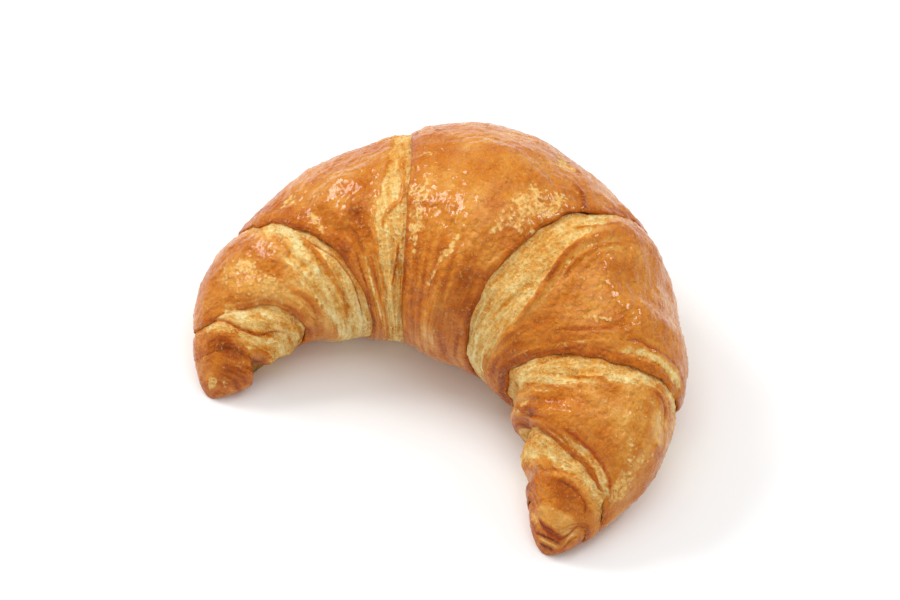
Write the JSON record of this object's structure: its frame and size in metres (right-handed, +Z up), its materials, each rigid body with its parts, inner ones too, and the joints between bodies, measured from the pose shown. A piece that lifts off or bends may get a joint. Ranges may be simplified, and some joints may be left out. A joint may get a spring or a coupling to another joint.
{
  "type": "croissant",
  "caption": "Curved butter croissant with overlapping rolled laps and tapered tips, for food scenes and table settings.",
  "frame": {"origin": "on the table, under the middle of the croissant's bounding box", "axes": "+Z up, X across the two arms, and both tips point towards -Y"},
  "size_m": [0.1506, 0.1114, 0.0623],
  "materials": {
    "crust": "satin"
  },
  "bodies": {
    "root": {"croissant": "crust"}
  },
  "joints": []
}
